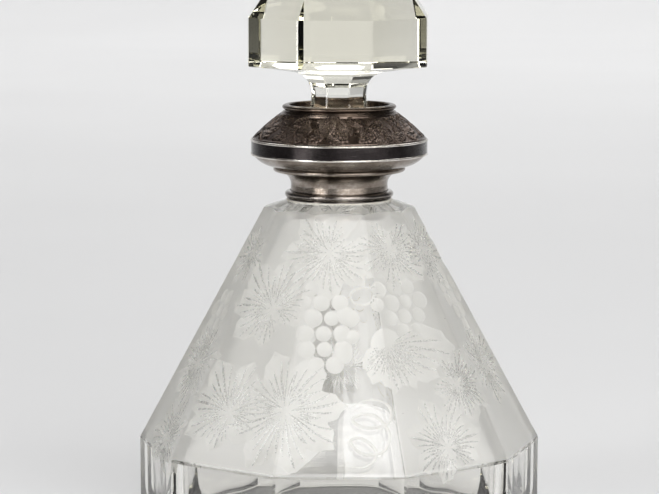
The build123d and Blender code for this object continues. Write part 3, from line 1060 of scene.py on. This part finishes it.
def silver(name, tones, spread, roughness, pitting, wear=0.0):
    """Tarnished silver: clouds of patina over worn metal, with turning marks and small dents.
    tones run from the tarnish to the bare metal. wear bares the high places of the chasing."""
    n = Nodes(name)
    n.shader.inputs["Metallic"].default_value = 1.0
    place = n.object_place()
    clouds = n.noise(place, 140, 6, 0.65)
    specks = n.noise(place, 1500, 4, 0.6)
    streaks = n.noise(n.object_place((1, 1, 9)), 160, 5, 0.6)
    mixed = n.math("ADD", n.math("MULTIPLY", clouds, 0.55),
                   n.math("ADD", n.math("MULTIPLY", specks, 0.2),
                          n.math("MULTIPLY", streaks, 0.25)))
    if wear:
        height = n.add("ShaderNodeAttribute", attribute_name="cut").outputs["Fac"]
        mixed = n.math("ADD", mixed, n.math("MULTIPLY", n.math("SUBTRACT", height, 0.45), wear))
    low, high = spread
    dark, middle, bright = tones
    n.join(n.ramp(mixed, ((low, dark), ((low + high) / 2, middle), (high, bright))),
           n.shader.inputs["Base Color"])
    n.join(n.remap(mixed, low, high, roughness[1], roughness[0]), n.shader.inputs["Roughness"])
    scratches = n.noise(n.object_place((1, 1, 30)), 420, 3, 0.7)
    n.bump(n.math("ADD", n.math("MULTIPLY", scratches, 0.4),
                  n.math("MULTIPLY", specks, pitting)), 0.00008)
    return n.material


def plaster_material():
    n = Nodes("cast_plaster")
    place = n.object_place()
    grain = n.noise(place, 900, 6, 0.6)
    n.join(n.ramp(grain, ((0.3, (0.62, 0.58, 0.5)), (0.7, (0.82, 0.79, 0.73)))),
           n.shader.inputs["Base Color"])
    n.join(n.remap(grain, 0.3, 0.7, 0.75, 0.95), n.shader.inputs["Roughness"])
    n.bump(grain, 0.0002)
    return n.material


def floor_material():
    n = Nodes("pale_paper")
    place = n.object_place()
    tones = (0.3, (0.735, 0.735, 0.737)), (0.7, (0.755, 0.755, 0.757))
    n.join(n.ramp(n.noise(place, 3, 2), tones), n.shader.inputs["Base Color"])
    n.shader.inputs["Roughness"].default_value = 0.9
    n.shader.inputs["Specular IOR Level"].default_value = 0.1
    return n.material


# --------------------------------------
# Floor, light and camera
# --------------------------------------

def make_floor():
    """A sheet of paper that lies flat and then curves up far behind the bottle."""
    half_width, near, far, bend, tall = 4.0, -3.0, 2.4, 1.2, 3.0
    line = [(near, 0.0), (far, 0.0)]
    line += [(far + bend * math.sin(t), bend * (1 - math.cos(t)))
             for t in np.linspace(0, math.pi / 2, 24)[1:]]
    line += [(far + bend, tall)]
    points = [(side * half_width, y, z) for y, z in line for side in (-1, 1)]
    faces = [(2 * n, 2 * n + 1, 2 * n + 3, 2 * n + 2) for n in range(len(line) - 1)]
    mesh = bpy.data.meshes.new("floor")
    mesh.from_pydata(points, [], faces)
    mesh.polygons.foreach_set("use_smooth", np.ones(len(faces), bool))
    mesh.materials.append(floor_material())
    floor = bpy.data.objects.new("floor", mesh)
    bpy.context.scene.collection.objects.link(floor)


def area_light(name, place, target, width, height, power):
    data = bpy.data.lights.new(name, "AREA")
    data.shape = "RECTANGLE"
    data.size = width
    data.size_y = height
    data.energy = power
    light = bpy.data.objects.new(name, data)
    light.location = place
    light.rotation_euler = (Vector(target) - Vector(place)).to_track_quat("-Z", "Y").to_euler()
    bpy.context.scene.collection.objects.link(light)


def make_light():
    """Softboxes above the paper, in front and at both sides, and a soft room behind them."""
    area_light("top_softbox", (0.3, 2.3, 2.4), (0.3, 2.4, 0), 4.0, 4.0, 111)
    # The front one is where the front facet's window mirrors it to the camera
    rise, away, middle_x, target_z = math.radians(31), 0.95, 0.305, 0.06
    area_light("front_softbox",
               (middle_x, -away * math.cos(rise), target_z + away * math.sin(rise)),
               (middle_x, 0, target_z), 0.6, 1.05, 7.4)
    area_light("left_softbox", (-0.9, -0.85, 0.3), (0, 0, 0.1), 0.3, 1.0, 8)
    area_light("right_softbox", (0.85, -0.8, 0.3), (0, 0, 0.1), 0.3, 1.0, 3.2)
    world = bpy.data.worlds.new("studio")
    bpy.context.scene.world = world
    world.use_nodes = True
    tree = world.node_tree
    place = tree.nodes.new("ShaderNodeTexCoord")
    split = tree.nodes.new("ShaderNodeSeparateXYZ")
    ramp = tree.nodes.new("ShaderNodeMapRange")
    for key, number in (("From Min", -0.75), ("From Max", 0.15), ("To Min", 0.3), ("To Max", 1.25)):
        ramp.inputs[key].default_value = number
    tree.links.new(place.outputs["Generated"], split.inputs["Vector"])
    tree.links.new(split.outputs["Y"], ramp.inputs["Value"])
    tree.links.new(ramp.outputs["Result"], tree.nodes["Background"].inputs["Strength"])


def make_camera():
    data = bpy.data.cameras.new("camera")
    data.sensor_width = 36.0
    data.lens = 150.9
    camera = bpy.data.objects.new("camera", data)
    # Millimetres from the axis and from the shoulder, found by matching outlines to the photo
    aim = Vector((-2.4 * MM, 0, (SHOULDER - 10.2) * MM))
    camera.location = (aim.x, -682 * MM, (SHOULDER + 79.1) * MM)
    camera.rotation_euler = (aim - camera.location).to_track_quat("-Z", "Y").to_euler()
    bpy.context.scene.collection.objects.link(camera)
    bpy.context.scene.camera = camera


def dress(node, material):
    """Gives a CAD node's own object a better material."""
    mesh = frame["nodes"][node].data
    mesh.materials.clear()
    mesh.materials.append(material)


make_camera()
make_floor()
make_light()
bpy.context.scene.view_settings.view_transform = "Standard"
bpy.context.scene.cycles.max_bounces = 40
bpy.context.scene.cycles.transmission_bounces = 40
bpy.context.scene.cycles.glossy_bounces = 8

body_glass = glass("engraved_glass", (0.84, 0.81, 0.62), 14.0)
stopper_glass = glass("stopper_glass", (0.84, 0.82, 0.66), 18.0)
polished = silver("worn_silver", ((0.12, 0.095, 0.075), (0.27, 0.23, 0.195), (0.5, 0.46, 0.42)),
                  (0.36, 0.66), (0.07, 0.2), 0.12)
bright_wire = silver("rubbed_silver", ((0.3, 0.26, 0.23), (0.6, 0.56, 0.51), (0.9, 0.87, 0.83)),
                     (0.36, 0.6), (0.1, 0.22), 0.15)
darkened = silver("dark_silver",
                  ((0.016, 0.014, 0.014), (0.028, 0.024, 0.024), (0.06, 0.054, 0.052)),
                  (0.35, 0.68), (0.06, 0.14), 0.08)
patina = silver("brown_patina", ((0.06, 0.042, 0.034), (0.125, 0.092, 0.075), (0.38, 0.31, 0.26)),
                (0.3, 0.85), (0.14, 0.32), 0.5, wear=0.2)
foot_silver = silver("foot_silver", ((0.1, 0.088, 0.08), (0.3, 0.27, 0.245), (0.6, 0.57, 0.53)),
                     (0.36, 0.66), (0.03, 0.08), 0.03)
brown = silver("brown_silver", ((0.055, 0.04, 0.03), (0.12, 0.09, 0.07), (0.3, 0.25, 0.21)),
               (0.36, 0.68), (0.14, 0.3), 0.3)

glass_body_piece(body_glass)
stopper_piece(stopper_glass)
frieze_piece(patina)
rim_piece(brown)
foot_piece(foot_silver)
plaster = plaster_material()
plaster_seam(plaster)
for node in ("neck_ferrule", "step_ring", "lower_pan"):
    dress(node, polished)
for node in ("lower_wire", "upper_wire"):
    dress(node, bright_wire)
dress("throat_pan", brown)
dress("girdle_band", darkened)
dress("plaster_bedding", plaster)
